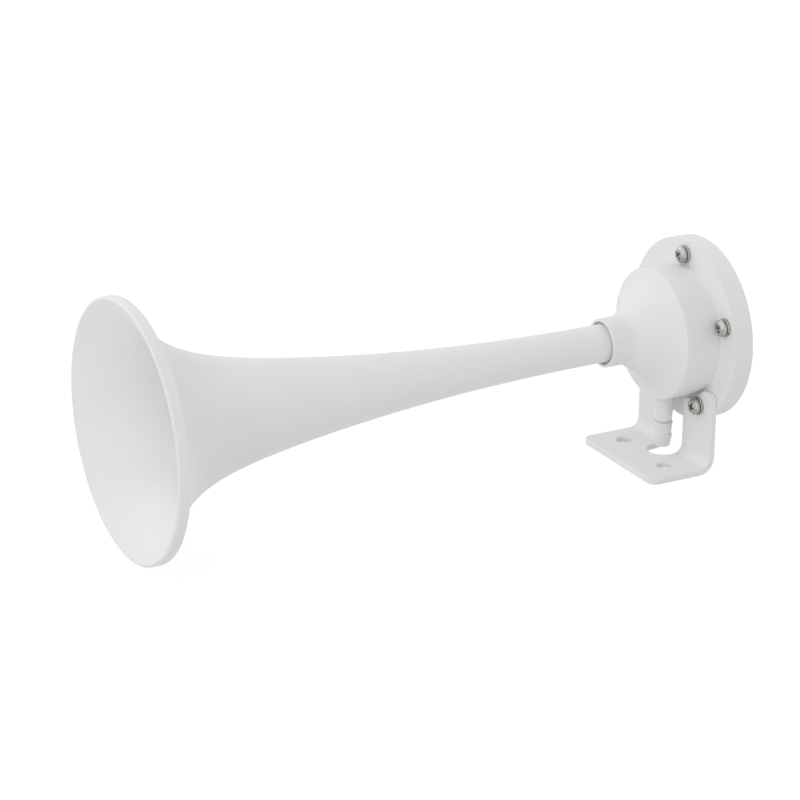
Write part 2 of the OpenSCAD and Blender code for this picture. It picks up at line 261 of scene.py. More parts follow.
axis_h = (trumpet_low.z + trumpet_high.z) / 2
flange_y = top_washer_high.y
rim_r = trumpet_high.x
rim_s = flange_y - trumpet_low.y
tube_end_s = flange_y - trumpet_high.y
flange_r = housing_high.x
flange_t = housing_high.y - flange_y
collar_d = flange_y - housing_low.y
boss_end_z = housing_low.z
cover_back_s = flange_y - cover_high.y
inlet_y = (barb_low.y + barb_high.y) / 2
plate_t = flange_y - leg_washer_high.y
print(f"axis {axis_h:.1f} up, flange face at y {flange_y:.1f}, mouth {rim_s:.1f} in front of it")

# %% Measures of the drawing
tube_r, horn_wall = 10.3, 1.7
rim_t, rim_w = 2.6, 6.4
drum_r, drum_d, drum_round, drum_wall, front_wall = 36.2, 20.6, 1.2, 4.7, 4.5
face_angle, face_fillet = radians(12), 23.0
neck_angle, neck_fillet = radians(38), 10.0
collar_lip, socket_gap, socket_d = 1.6, 1.4, 3.0
nozzle_wall, gasket_w, recess_gap, recess_depth = 2.4, 5.7, 0.3, 2.4
front_gasket_t, tube_seal_t, thread_gap = 0.8, 1.2, 0.05

throat_r = tube_r - horn_wall
socket_r = tube_r + socket_gap
collar_r = socket_r + collar_lip
chamber_r = drum_r - drum_wall
recess_r = chamber_r + gasket_w + recess_gap
print(f"throat {throat_r:.1f}, collar {collar_r:.1f}, chamber {chamber_r:.1f} in radius")

# %% [markdown]
# ## Outlines and turning
# Nearly every piece here is turned on a lathe or could be. Blender has a Screw modifier for that,
# and a Spin tool in edit mode. Writing the rings in mesh code is as short, keeps the points in the
# hands of the drawing, and can lay a "Lathe" map over the piece at the same time: across is the
# turn, and up is the distance that the tool has travelled along the outline. The turning marks of
# the finish follow that map later. An outline is a list of points of radius and distance, and its
# corners are rounded by a helper, because no real edge is perfectly sharp.

# %% Points of arcs and circles
ARC_STEPS = 7


def arc(centre, radius, start, end, steps=ARC_STEPS):
    """Points of an arc from one angle to another, in radians."""
    angles = [start + (end - start) * k / steps for k in range(steps + 1)]
    return [(centre[0] + radius * cos(a), centre[1] + radius * sin(a)) for a in angles]


def circle(radius, around, centre=(0, 0)):
    """Points all the way round a circle."""
    turns = [TAU * j / around for j in range(around)]
    return [(centre[0] + radius * cos(t), centre[1] + radius * sin(t)) for t in turns]


def short(points):
    """Points with two decimals, to be printed."""
    return [(round(x, 2), round(y, 2)) for x, y in points]


print("a quarter turn in two steps:", short(arc((0, 0), 1, 0, pi / 2, steps=2)))

# %% Rounded corners
LONGEST_REACH = 0.49


def rounded(corners, closed=False, steps=ARC_STEPS):
    """Outline through corners of (x, y, rounding). A rounding of 0 keeps the corner.

    A rounding that is too large for its sides takes just under half of the shorter one.
    """
    outline = []
    for i, (x, y, rounding) in enumerate(corners):
        ends_here = not closed and i in (0, len(corners) - 1)
        if rounding == 0 or ends_here:
            outline.append((x, y))
            continue
        corner = Vector((x, y))
        before = Vector(corners[i - 1][:2]) - corner
        after = Vector(corners[(i + 1) % len(corners)][:2]) - corner
        half = before.angle(after) / 2
        shorter = min(before.length, after.length)
        reach = min(rounding / tan(half), shorter * LONGEST_REACH)
        before.normalize()
        after.normalize()
        middle = corner + (before + after).normalized() * reach / cos(half)
        first = corner + before * reach - middle
        last = corner + after * reach - middle
        start = atan2(first.y, first.x)
        sweep = (atan2(last.y, last.x) - start + pi) % TAU - pi
        outline += arc(middle, reach * tan(half), start, start + sweep, steps)
    return outline


def plain(points):
    """The same points as corners that stay as they are."""
    return [(x, y, 0) for x, y in points]


print("a corner of rounding 1:", short(rounded([(0, 0, 0), (4, 0, 1), (4, 4, 0)], steps=2)))

# %% Rings, faces and new pieces
def new_piece(name, bm, spot=Matrix.Identity(4)):
    """Object made of a bmesh that is drawn in millimetres in the frame of spot."""
    bm.transform(Matrix.Scale(MM, 4) @ spot)
    bmesh.ops.recalc_face_normals(bm, faces=bm.faces[:])
    mesh = bpy.data.meshes.new(name)
    bm.to_mesh(mesh)
    bm.free()
    piece = bpy.data.objects.new(name, mesh)
    scene.collection.objects.link(piece)
    return piece


def ring(bm, radius, height, around):
    """Vertices on a circle round the Z axis. A circle of no radius is one vertex, many times."""
    if radius == 0:
        return [bm.verts.new((0, 0, height))] * around
    return [bm.verts.new((x, y, height)) for x, y in circle(radius, around)]


def bridge(bm, low, high):
    """New faces between two rings or loops with the same count of vertices."""
    sides = zip(low, low[1:] + low[:1], high[1:] + high[:1], high)
    return [bm.faces.new(corners) for corners in sides]


def fan(bm, loop, tip):
    """New faces between a ring or loop and one vertex."""
    return [bm.faces.new((a, b, tip)) for a, b in zip(loop, loop[1:] + loop[:1])]


print("a skin is made of rings, bridges between them and fans at its ends")

# %% Turning an outline into a mesh
AROUND = 192
HORN_AXIS = Matrix.Translation((0, flange_y, axis_h)) @ Matrix.Rotation(pi / 2, 4, "X")
INLET_AXIS = Matrix.Translation((0, inlet_y, 0))


def turned(name, outline, spot, closed=False, around=AROUND):
    """Piece with an outline of (radius, distance) turned round the Z axis of spot."""
    bm = bmesh.new()
    lathe = bm.loops.layers.uv.new("Lathe")
    rings = [ring(bm, radius, distance, around) for radius, distance in outline]
    order = list(range(len(outline))) + ([0] if closed else [])
    travelled = 0.0
    for a, b in zip(order, order[1:]):
        reached = travelled + hypot(outline[b][0] - outline[a][0], outline[b][1] - outline[a][1])
        for j in range(around):
            k = (j + 1) % around
            spots = {rings[a][j]: (j, travelled), rings[a][k]: (j + 1, travelled),
                     rings[b][k]: (j + 1, reached), rings[b][j]: (j, reached)}
            for loop in bm.faces.new(spots).loops:
                turn, distance = spots[loop.vert]
                loop[lathe].uv = (turn / around, distance)
        travelled = reached
    return new_piece(name, bm, spot)


print(f"turned pieces have {AROUND} faces around")

# %% Cutting and joining solids
def combine(piece, tool, operation):
    """Cuts the tool out of a piece (DIFFERENCE) or joins it on (UNION), and removes the tool."""
    modifier = piece.modifiers.new(operation, "BOOLEAN")
    modifier.operation, modifier.solver, modifier.object = operation, "EXACT", tool
    shaped = piece.evaluated_get(bpy.context.evaluated_depsgraph_get())
    mesh = bpy.data.meshes.new_from_object(shaped)
    piece.modifiers.clear()
    piece.data = mesh
    bpy.data.objects.remove(tool)


def joined(tools):
    """Several tools as one object, for a single cut."""
    bm = bmesh.new()
    for tool in tools:
        bm.from_mesh(tool.data)
        bpy.data.objects.remove(tool)
    mesh = bpy.data.meshes.new("tool")
    bm.to_mesh(mesh)
    bm.free()
    made = bpy.data.objects.new("tool", mesh)
    scene.collection.objects.link(made)
    return made


print("booleans are applied at once, so that later steps see the cut mesh")

# %% Shading, finish and place of a piece
SHARP_ANGLE = radians(38)


def dressed(piece, node, material):
    """Shades a piece smoothly, gives it its material and lets it stand for its CAD node."""
    piece.data.materials.clear()
    piece.data.materials.append(material)
    piece.data.shade_smooth()
    piece.data.set_sharp_from_angle(angle=SHARP_ANGLE)
    weighted = piece.modifiers.new("weighted normals", "WEIGHTED_NORMAL")
    weighted.keep_sharp = True
    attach(piece, frame["nodes"][node]["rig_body"])
    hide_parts(node)
    print(f"{piece.name}: {len(piece.data.polygons)} faces")


# %% [markdown]
# ## Effects that several finishes share
# A coat of powder paint shows a faint ripple that painters call orange peel, edges are rubbed
# brighter, and a lathe leaves rings. Crevices get a mask of dust and painted shade: it follows
# ambient occlusion, so it darkens the colour where light is shut out, with patches of dust on top.
# These effects could be painted on images, but nodes have no pixels to run out of and need no
# unwrapping. Each effect is a node group with named inputs and outputs, built once. A group gives
# out only a mask, a value or a height. The shader itself stays in each material, where its plain
# numbers can be read.

# %% Helpers that make a node group
def new_group(name, inputs):
    """Shader node group with float inputs given as {name: default}, and their outputs inside."""
    tree = bpy.data.node_groups.new(name, "ShaderNodeTree")
    for label, default in inputs.items():
        socket = tree.interface.new_socket(label, in_out="INPUT", socket_type="NodeSocketFloat")
        socket.default_value = default
    return tree, tree.nodes.new("NodeGroupInput").outputs


def close_group(tree, label, value):
    """Gives a group its one output, and prints what it holds."""
    tree.interface.new_socket(label, in_out="OUTPUT", socket_type="NodeSocketFloat")
    place(tree, "NodeGroupOutput", {label: value})
    print(f"{tree.name}: {len(tree.nodes)} nodes")


def maths(tree, operation, a, b, **settings):
    """Output of a Math node on two values or outputs."""
    return place(tree, "ShaderNodeMath", {0: a, 1: b}, operation=operation, **settings).outputs[0]


def noise(tree, vector, scale, detail=2.0):
    """Output of a noise texture, from 0 to 1 around a half."""
    return place(tree, "ShaderNodeTexNoise", {"Vector": vector, "Scale": scale,
                                              "Detail": detail}).outputs["Fac"]


def on_object(tree):
    """Place on the object in metres, which is the same for all pieces of the horn."""
    return place(tree, "ShaderNodeTexCoord").outputs["Object"]


print("groups take and give single values")

# %% Orange peel of a sprayed coat
SLOW_WAVE_SCALE, SLOW_WAVE_SHARE = 0.12, 2.5

peel, given = new_group("Orange peel", {"Bumps per metre": 900.0, "Height in metres": 4e-6})
slower = maths(peel, "MULTIPLY", given["Bumps per metre"], SLOW_WAVE_SCALE)
slow_wave = noise(peel, on_object(peel), slower)
ripple = noise(peel, on_object(peel), given["Bumps per metre"], detail=1.0)
mixed = maths(peel, "ADD", ripple, maths(peel, "MULTIPLY", slow_wave, SLOW_WAVE_SHARE))
close_group(peel, "Height", maths(peel, "MULTIPLY", mixed, given["Height in metres"]))

# %% Dust and shade in crevices
# The mask follows ambient occlusion, so it paints shade into the colour where crevices are closed
# in, with patches of dust on top.
DEPTH_POWER, DUST_AND_SHADE_PATCHES, LEAST_DUST_AND_SHADE = 1.6, 160.0, 0.45

dust_and_shade, given = new_group("Crevice dust and painted shade", {"Reach in metres": 0.003, "Amount": 1.0})
hollow = place(dust_and_shade, "ShaderNodeAmbientOcclusion", {"Distance": given["Reach in metres"]},
               samples=8)
deep = maths(dust_and_shade, "POWER", maths(dust_and_shade, "SUBTRACT", 1.0, hollow.outputs["AO"]), DEPTH_POWER)
patchy = maths(dust_and_shade, "ADD", noise(dust_and_shade, on_object(dust_and_shade), DUST_AND_SHADE_PATCHES, detail=3.0), LEAST_DUST_AND_SHADE)
shaded_and_dusty = maths(dust_and_shade, "MULTIPLY", deep, patchy)
close_group(dust_and_shade, "Mask", maths(dust_and_shade, "MULTIPLY", shaded_and_dusty, given["Amount"], use_clamp=True))

# %% Touch of wear along edges
EDGE_GAIN, WEAR_PATCHES, LEAST_WEAR = 6.0, 420.0, 0.4

edges, given = new_group("Edge touch", {"Radius in metres": 0.0005, "Amount": 1.0})
soft_normal = place(edges, "ShaderNodeBevel", {"Radius": given["Radius in metres"]}, samples=4)
true_normal = place(edges, "ShaderNodeNewGeometry")
alike = place(edges, "ShaderNodeVectorMath",
              {0: soft_normal.outputs[0], 1: true_normal.outputs["Normal"]},
              operation="DOT_PRODUCT").outputs["Value"]
turned_away = maths(edges, "MULTIPLY", maths(edges, "SUBTRACT", 1.0, alike), EDGE_GAIN,
                    use_clamp=True)
uneven = maths(edges, "ADD", noise(edges, on_object(edges), WEAR_PATCHES, detail=3.0), LEAST_WEAR)
worn = maths(edges, "MULTIPLY", turned_away, uneven)
close_group(edges, "Mask", maths(edges, "MULTIPLY", worn, given["Amount"], use_clamp=True))

# %% Rings left by the lathe
marks, given = new_group("Turning marks",
                         {"Rings per millimetre": 6.0, "Height in metres": 1e-6})
lathe_map = place(marks, "ShaderNodeUVMap", uv_map="Lathe")
along = place(marks, "ShaderNodeSeparateXYZ", {0: lathe_map.outputs[0]}).outputs["Y"]
ring_count = maths(marks, "MULTIPLY", along, given["Rings per millimetre"])
groove = place(marks, "ShaderNodeTexNoise", {"W": ring_count, "Scale": 1.0, "Detail": 3.0},
               noise_dimensions="1D")
depth = maths(marks, "MULTIPLY", groove.outputs["Fac"], given["Height in metres"])
close_group(marks, "Height", depth)

# %% Smudges of handling
PATCH_LOW, PATCH_HIGH = 0.3, 0.7

smudges, given = new_group("Handling smudges",
                           {"Patches per metre": 60.0, "Lowest": 0.4, "Highest": 0.5})
patches = noise(smudges, on_object(smudges), given["Patches per metre"], detail=5.0)
spread = place(smudges, "ShaderNodeMapRange",
               {"Value": patches, "From Min": PATCH_LOW, "From Max": PATCH_HIGH,
                "To Min": given["Lowest"], "To Max": given["Highest"]})
close_group(smudges, "Value", spread.outputs["Result"])

# %% [markdown]
# ## Finishes
# The horn's castings, bell, bracket and barb are powder coated in white, and its screws and
# washers are bare stainless steel. One function makes a coat, another a bare metal and a third a
# soft seal, and each material calls one of them with its own values. Fresh white powder coat
# reflects five sixths of the light. A brighter value would glow, and a grey one would look dirty
# under any lamp. It yellows a little in patches as it ages.

# %% Helpers that make a material
def new_material(name, shader_values):
    """Material with one Principled shader whose plain numbers are set on its own sockets."""
    material = bpy.data.materials.new(name)
    material.use_nodes = True
    tree = material.node_tree
    tree.nodes.clear()
    shader = place(tree, "ShaderNodeBsdfPrincipled", shader_values)
    place(tree, "ShaderNodeOutputMaterial", {"Surface": shader.outputs[0]})
    return material, tree, shader


def use_group(tree, group, values):
    """Output of a group placed in a material with its own values, given as {input: value}."""
    return place(tree, "ShaderNodeGroup", node_tree=group, inputs=values).outputs[0]


def blend(tree, mask, clean, dirty):
    """Colour that goes from clean to dirty with a mask. Either may be another node's output."""
    return place(tree, "ShaderNodeMix", {0: mask, 6: clean, 7: dirty}, data_type="RGBA").outputs[2]


def bump(tree, shader, height):
    """Gives the shader a normal that follows a height in metres."""
    made = place(tree, "ShaderNodeBump", {"Height": height, "Strength": 1.0, "Distance": 1.0})
    tree.links.new(made.outputs[0], shader.inputs["Normal"])


def rgba(colour, share=1.0):
    """Colour with its alpha, made brighter or darker by a share."""
    return (*(min(1.0, part * share) for part in colour), 1.0)


print("materials are made of one shader and the groups above")

# %% White coat of castings, bell and bracket
AGED_SHARES = (0.985, 0.978, 0.968)
# Pale grey of dust and painted shade, mixed into the coat where the crevice mask finds a hollow.
PALE_DUST_AND_SHADE, DUST_AND_SHADE_AMOUNT = (0.36, 0.355, 0.345), 0.15


def white_coat(name, colour, peel_height, ring_height=0.0):
    """Satin powder coat, smoother where edges are rubbed. A turned piece shows faint rings."""
    material, tree, shader = new_material(
        name, {"IOR": 1.5, "Coat Weight": 0.05, "Coat Roughness": 0.4})
    sheen = use_group(tree, smudges, {"Lowest": 0.5, "Highest": 0.6})
    rubbed = use_group(tree, edges, {"Amount": 0.12})
    tree.links.new(maths(tree, "SUBTRACT", sheen, rubbed), shader.inputs["Roughness"])

    uneven = use_group(tree, smudges, {"Patches per metre": 22.0, "Lowest": 0.0, "Highest": 1.0})
    aged = [part * share for part, share in zip(colour, AGED_SHARES)]
    base = blend(tree, uneven, rgba(colour), rgba(aged))
    # Painted shade with some dust: the coat turns grey in crevices, following ambient occlusion.
    crevice_dust_and_shade = use_group(tree, dust_and_shade, {"Reach in metres": 0.0012, "Amount": DUST_AND_SHADE_AMOUNT})
    tree.links.new(blend(tree, crevice_dust_and_shade, base, rgba(PALE_DUST_AND_SHADE)), shader.inputs["Base Color"])

    height = use_group(tree, peel, {"Height in metres": peel_height})
    if ring_height:
        rings = use_group(tree, marks,
                          {"Rings per millimetre": 1.6, "Height in metres": ring_height})
        height = maths(tree, "ADD", height, rings)
    bump(tree, shader, height)
    return material


fresh_white = (0.84, 0.84, 0.84)
bell_coat = white_coat("bell_coat", fresh_white, 2.5e-6, ring_height=2.5e-6)
cast_coat = white_coat("cast_coat", fresh_white, 5e-6)
plate_coat = white_coat("plate_coat", fresh_white, 3.5e-6)
barb_coat = white_coat("barb_coat", (0.81, 0.81, 0.8), 2e-6, ring_height=2e-6)
print("four coats, one for each kind of piece")

# %% Bare steel of screws, washers and the disc
BRIGHT_SPOT, DULL_SPOT, BRIGHT_EDGE = 1.15, 0.75, 1.4
# Near-black dirt and painted shade for recesses, which also take away the metal's shine.
DIRT_AND_SHADE, DIRT_AND_SHADE_COVERS = (0.035, 0.03, 0.026), 0.85


def bare_steel(name, colour, rough, ring_height, dust_and_shade_amount, dust_and_shade_reach=1.6):
    """Stainless steel with dull spots, bright edges, turning marks, and dirt with painted shade in
    its recesses.
    """
    material, tree, shader = new_material(name, {"IOR": 2.5})
    spots = use_group(tree, smudges, {"Patches per metre": 700.0, "Lowest": 0.0, "Highest": 1.0})
    mottled = blend(tree, spots, rgba(colour, BRIGHT_SPOT), rgba(colour, DULL_SPOT))
    rubbed = use_group(tree, edges, {"Radius in metres": 0.00025, "Amount": 0.7})
    base = blend(tree, rubbed, mottled, rgba(colour, BRIGHT_EDGE))
    # Dirt and painted shade in recesses, from the crevice mask.
    crevice_dust_and_shade = use_group(tree, dust_and_shade, {"Reach in metres": dust_and_shade_reach * MM, "Amount": dust_and_shade_amount})
    tree.links.new(blend(tree, crevice_dust_and_shade, base, rgba(DIRT_AND_SHADE)), shader.inputs["Base Color"])

    covered = maths(tree, "MULTIPLY", crevice_dust_and_shade, DIRT_AND_SHADE_COVERS)
    tree.links.new(maths(tree, "SUBTRACT", 1.0, covered), shader.inputs["Metallic"])
    sheen = use_group(tree, smudges, {"Patches per metre": 500.0, "Lowest": rough[0],
                                      "Highest": rough[1]})
    tree.links.new(sheen, shader.inputs["Roughness"])
    bump(tree, shader, use_group(tree, marks, {"Rings per millimetre": 14.0,
                                               "Height in metres": ring_height}))
    return material


screw_steel = bare_steel("screw_steel", (0.5, 0.485, 0.47), (0.46, 0.6), 1.2e-6, 1.9)
washer_steel = bare_steel("washer_steel", (0.55, 0.535, 0.52), (0.42, 0.58), 0.8e-6, 2.4,
                          dust_and_shade_reach=0.9)
disc_steel = bare_steel("disc_steel", (0.6, 0.59, 0.57), (0.2, 0.32), 0.3e-6, 0.4)
print("three steels")

# %% Seals of rubber and of fibre
def seal_finish(name, dark, pale, rough, grain_height):
    """Soft seal that is mottled between two colours, with a fine grain."""
    material, tree, shader = new_material(name, {"IOR": 1.52, "Specular IOR Level": 0.4})
    bloom = use_group(tree, smudges, {"Patches per metre": 300.0, "Lowest": 0.0, "Highest": 1.0})
    tree.links.new(blend(tree, bloom, rgba(dark), rgba(pale)), shader.inputs["Base Color"])
    matt = use_group(tree, smudges, {"Patches per metre": 800.0, "Lowest": rough[0],
                                     "Highest": rough[1]})
    tree.links.new(matt, shader.inputs["Roughness"])
    bump(tree, shader, use_group(tree, peel, {"Bumps per metre": 4000.0,
                                              "Height in metres": grain_height}))
    return material


seal_rubber = seal_finish("seal_rubber", (0.018, 0.018, 0.018), (0.05, 0.049, 0.047),
                          (0.6, 0.8), 3e-6)
seal_fibre = seal_finish("seal_fibre", (0.56, 0.55, 0.53), (0.66, 0.65, 0.63),
                         (0.7, 0.85), 4e-6)
print("black rubber with a faint grey bloom, and pale fibre")

# %% [markdown]
# ## Trumpet
# The bell is spun or turned from aluminium in one piece with its tube: a straight bore, a slow
# opening along most of its length and a quick one at the mouth, where a thick bead keeps the edge
# from ringing. A curve of three powers gives that opening. The slow power shapes the tube, the
# quick one the bell and the last one the turned-out edge. The inside opens by a curve of its own:
# the wall is even along the tube, thickens in the bell and ends in a rounded lip that the inside
# runs into smoothly. The rings crowd towards the mouth, where the curves bend most.

# %% Curves of the bell
OUTSIDE = [(2.2, 0.508), (15.5, 0.45), (50, 0.042)]
INSIDE = [(2.2, 0.508), (14, 0.492)]
FLARE_RINGS, RING_CROWDING, RINGS_LEFT_TO_CORNER = 80, 1.9, 3


def flare(start, end, openings):
    """Points of a flare between two points of (radius, distance), opened by shares of powers."""
    points = []
    for i in range(FLARE_RINGS + 1):
        u = 1 - (1 - i / FLARE_RINGS) ** RING_CROWDING
        growth = sum(share * u ** power for power, share in openings)
        points.append((start[0] + growth * (end[0] - start[0]), start[1] + u * (end[1] - start[1])))
    return points


bead_r, lip_angle = rim_t / 2, radians(150)
bead_back = (rim_r - rim_t, rim_s - rim_w)
lip = arc((rim_r - bead_r, rim_s - bead_r), bead_r, 0, lip_angle)
outside = flare((tube_r, collar_d), bead_back, OUTSIDE)
inside = flare((throat_r, collar_d), lip[-1], INSIDE)
print("outside radius along the flare:", [round(r, 1) for r, s in outside[::FLARE_RINGS // 5]])

# %% Trumpet
trumpet_outline = rounded(
    [(throat_r, tube_end_s, 0.3), (tube_r, tube_end_s, 0.4)]
    + plain(outside[:-RINGS_LEFT_TO_CORNER])
    + [(*bead_back, 1.2), (rim_r, bead_back[1], 0.9)] + plain(lip + inside[-2::-1]), closed=True)
trumpet = turned("trumpet_turned", trumpet_outline, HORN_AXIS, closed=True)
dressed(trumpet, "trumpet", bell_coat)

# %% [markdown]
# ## Front housing
# The housing is one casting that is turned afterwards: a flange, a drum around the air chamber, a
# neck that sweeps into the collar, and the nozzle that the steel disc seals from behind. Its whole
# section is one closed outline, cavities included, so one turn makes it. The inlet boss underneath
# isn't round about the same axis, so it is a second solid that is joined on with a boolean. A cast
# boss never meets a drum in a sharp line. Its foot is a skirt that bends outwards and follows the
# drum's own cylinder, which is worked out point by point.

# %% Section of the housing
def step(angle, length):
    """Step of a length at an angle, which is also square to an outline that leans by it."""
    return Vector((cos(angle), sin(angle))) * length


edge_angle = pi / 2 - face_angle
round_centre = Vector((drum_r - drum_round, drum_d - drum_round))
face_centre = round_centre + step(edge_angle, drum_round + face_fillet)
cone_base = face_centre - step(neck_angle, face_fillet)
cone_top_r = collar_r + neck_fillet * (1 - cos(neck_angle))
cone_top_s = cone_base.y + (cone_base.x - cone_top_r) / tan(neck_angle)
neck_centre = (collar_r + neck_fillet, cone_top_s + neck_fillet * sin(neck_angle))

recess_s = recess_depth - flange_t
seat_s = recess_s - front_gasket_t
chamber_s = drum_d - front_wall
shoulder_s = tube_end_s - tube_seal_t
nozzle_r = throat_r + nozzle_wall
thread_r = tube_r + thread_gap
SWEEP_STEPS = 14

front = (arc(round_centre, drum_round, 0, edge_angle)
         + arc(face_centre, face_fillet, pi + edge_angle, pi + neck_angle, SWEEP_STEPS)[1:]
         + arc(neck_centre, neck_fillet, pi + neck_angle, pi, SWEEP_STEPS))
housing_outline = rounded(
    [(throat_r, seat_s, 0.2), (nozzle_r, seat_s, 0.3), (nozzle_r, chamber_s, 1.0),
     (chamber_r, chamber_s, 1.5), (chamber_r, recess_s, 0.2), (recess_r, recess_s, 0.1),
     (recess_r, -flange_t, 0.2), (flange_r, -flange_t, 0.08), (flange_r, 0, 0.22),
     (drum_r, 0, 0.15)] + plain(front)
    + [(collar_r, collar_d, 0.45), (socket_r, collar_d, 0.25),
       (socket_r, collar_d - socket_d, 0.5), (thread_r, collar_d - socket_d, 0.2),
       (thread_r, shoulder_s, 0.1), (throat_r, shoulder_s, 0.2)], closed=True)
housing = turned("front_housing_cast", housing_outline, HORN_AXIS, closed=True)
print(f"neck ends {neck_centre[1]:.2f} and collar {collar_d:.2f} in front of the flange")

# %% Inlet boss with its skirt
boss_end_r, boss_taper, boss_skirt = 4.6, 1.1, 1.6
boss_top_z = axis_h - drum_r + drum_wall / 2
SKIRT_STEPS, INLET_AROUND = 8, 96
HIDDEN_SPREAD, HIDDEN_DEPTH = 0.2, 0.8


def drum_bottom(x):
    """Height of the drum's underside at a distance x from the middle."""
    return axis_h - sqrt(drum_r ** 2 - x ** 2)


def boss():
    """Boss that spreads where it meets the drum and ends hidden in the drum's wall."""
    bm = bmesh.new()
    foot_r = boss_end_r + boss_taper
    lower = rounded([(0, boss_end_z, 0), (boss_end_r, boss_end_z, 0.4),
                     (foot_r, axis_h - drum_r, 0)])[1:-1]
    bends = [k * pi / 2 / SKIRT_STEPS for k in range(SKIRT_STEPS + 1)]
    skirt = [(foot_r + boss_skirt * (1 - cos(t)), boss_skirt * (sin(t) - 1)) for t in bends]
    skirt.append((foot_r + boss_skirt + HIDDEN_SPREAD, HIDDEN_DEPTH))
    rings = [ring(bm, radius, height, INLET_AROUND) for radius, height in lower]
    for radius, lift in skirt:
        rings.append([bm.verts.new((x, y, drum_bottom(x) + lift))
                      for x, y in circle(radius, INLET_AROUND)])
    for low, high in zip(rings, rings[1:]):
        bridge(bm, low, high)
    bm.faces.new(rings[0])
    fan(bm, rings[-1], bm.verts.new((0, 0, boss_top_z)))
    return new_piece("tool", bm, INLET_AXIS)


combine(housing, boss(), "UNION")
print(f"{len(housing.data.polygons)} faces with the boss")

# %% Holes of the housing
SCREWS = ["flange_screw_1", "flange_screw_2", "bracket_screw_1", "bracket_screw_2",
          "flange_screw_3"]
screw_r, screw_gap, mouth_break = 2.5, 0.25, 0.3
bore_r, spigot_wall, spigot_len, boss_break, drill_tip = 2.4, 0.8, 8.0, 0.1, 0.5
HOLE_AROUND, CUT_PAST = 64, 1


def screw_spot(i):
    """Frame of screw i, with its X pointing away from the horn's axis."""
    low, high = box_mm(SCREWS[i])
    across, rise = (low.x + high.x) / 2, (low.z + high.z) / 2 - axis_h
    turn = Matrix.Rotation(atan2(rise, across), 4, "Z")
    return HORN_AXIS @ turn @ Matrix.Translation((hypot(across, rise), 0, 0))


def drill(corners, spot):
    """Cutting tool turned from an outline that starts and ends on its axis."""
    return turned("tool", rounded(corners), spot, around=HOLE_AROUND)


hole_r, spigot_r = screw_r + screw_gap, bore_r + spigot_wall
tools = [drill([(0, -flange_t - CUT_PAST, 0), (hole_r, -flange_t - CUT_PAST, 0),
                (hole_r, -mouth_break, 0), (hole_r + 2 * mouth_break, mouth_break, 0),
                (0, mouth_break, 0)], screw_spot(i)) for i in range(len(SCREWS))]
spigot_top_z, bore_top_z = boss_end_z + spigot_len, boss_top_z + drum_wall
tools.append(drill([(0, boss_end_z - CUT_PAST, 0),
                    (spigot_r + boss_break + CUT_PAST, boss_end_z - CUT_PAST, 0),
                    (spigot_r, boss_end_z + boss_break, 0), (spigot_r, spigot_top_z, 0),
                    (bore_r, spigot_top_z + drill_tip, 0), (bore_r, bore_top_z, 0),
                    (0, bore_top_z, 0)], INLET_AXIS))
combine(housing, joined(tools), "DIFFERENCE")
dressed(housing, "front_housing", cast_coat)

# %% [markdown]
# ## Back cover
# The cover closes the housing from behind and holds the threads of all five screws. It is turned
# like the housing, with a raised middle that stiffens it, and the screws' tips show in its holes.

# %% Back cover
cover_hollow, cover_rise_in, cover_rise = 2.5, 2.2, 1.4
cover_rise_r = drum_r - cover_rise_in
cover_rim_s = cover_back_s + cover_rise

cover_outline = rounded(
    [(0, -flange_t - cover_hollow, 0), (chamber_r, -flange_t - cover_hollow, 0.8),
     (chamber_r, -flange_t, 0.2), (flange_r, -flange_t, 0.08), (flange_r, cover_rim_s, 1.2),
     (cover_rise_r, cover_rim_s, 0.6), (cover_rise_r - cover_rise, cover_back_s, 1.2),
     (0, cover_back_s, 0)])
cover = turned("back_cover_cast", cover_outline, HORN_AXIS)
thread_hole_r, countersink = screw_r + thread_gap, 0.5
tools = [drill([(0, cover_rim_s - CUT_PAST, 0),
                (thread_hole_r + countersink + CUT_PAST, cover_rim_s - CUT_PAST, 0),
                (thread_hole_r, cover_rim_s + countersink, 0),
                (thread_hole_r, CUT_PAST - flange_t, 0), (0, CUT_PAST - flange_t, 0)],
               screw_spot(i)) for i in range(len(SCREWS))]
combine(cover, joined(tools), "DIFFERENCE")
dressed(cover, "back_cover", cast_coat)

# %% [markdown]
# ## Bracket
# The bracket is cut flat from steel plate, its edges are broken, and then it is bent. Modelling it
# the same way is easier than rounding the edges of a bent solid: the flat outline and its holes
# are loops, each loop gets a rounded edge by stepping inwards and upwards, and the whole plate is
# then wrapped round the bend by a formula. The slot can run through the bend with no extra work.

# %% Measures of the bracket
bend_in_r, edge_r = 5.7, 0.5
half_w, leg_h = bracket_high.x, bracket_high.z
foot_front_y = bracket_low.y
foot_corner_r, leg_corner_r, slot_corner_r = 5.0, 5.0, 1.0
drum_gap, slot_r = 2.1, 8.5
bolt_half_span, bolt_r = 20.9, 4.35

bend_out_r = bend_in_r + plate_t
bend_mid_r = bend_in_r + plate_t / 2
bend_start = flange_y - bend_out_r - foot_front_y
bend_end = bend_start + bend_mid_r * pi / 2
print(f"plate {plate_t:.1f} thick, flat for {bend_start:.1f} and bent up to {bend_end:.1f}")

# %% Flat pattern of the bracket
BITE_STEPS, SLOT_STEPS = 8, 16


def on_leg(z):
    """Place along the flat pattern of a height z on the legs."""
    return bend_end + z - bend_out_r


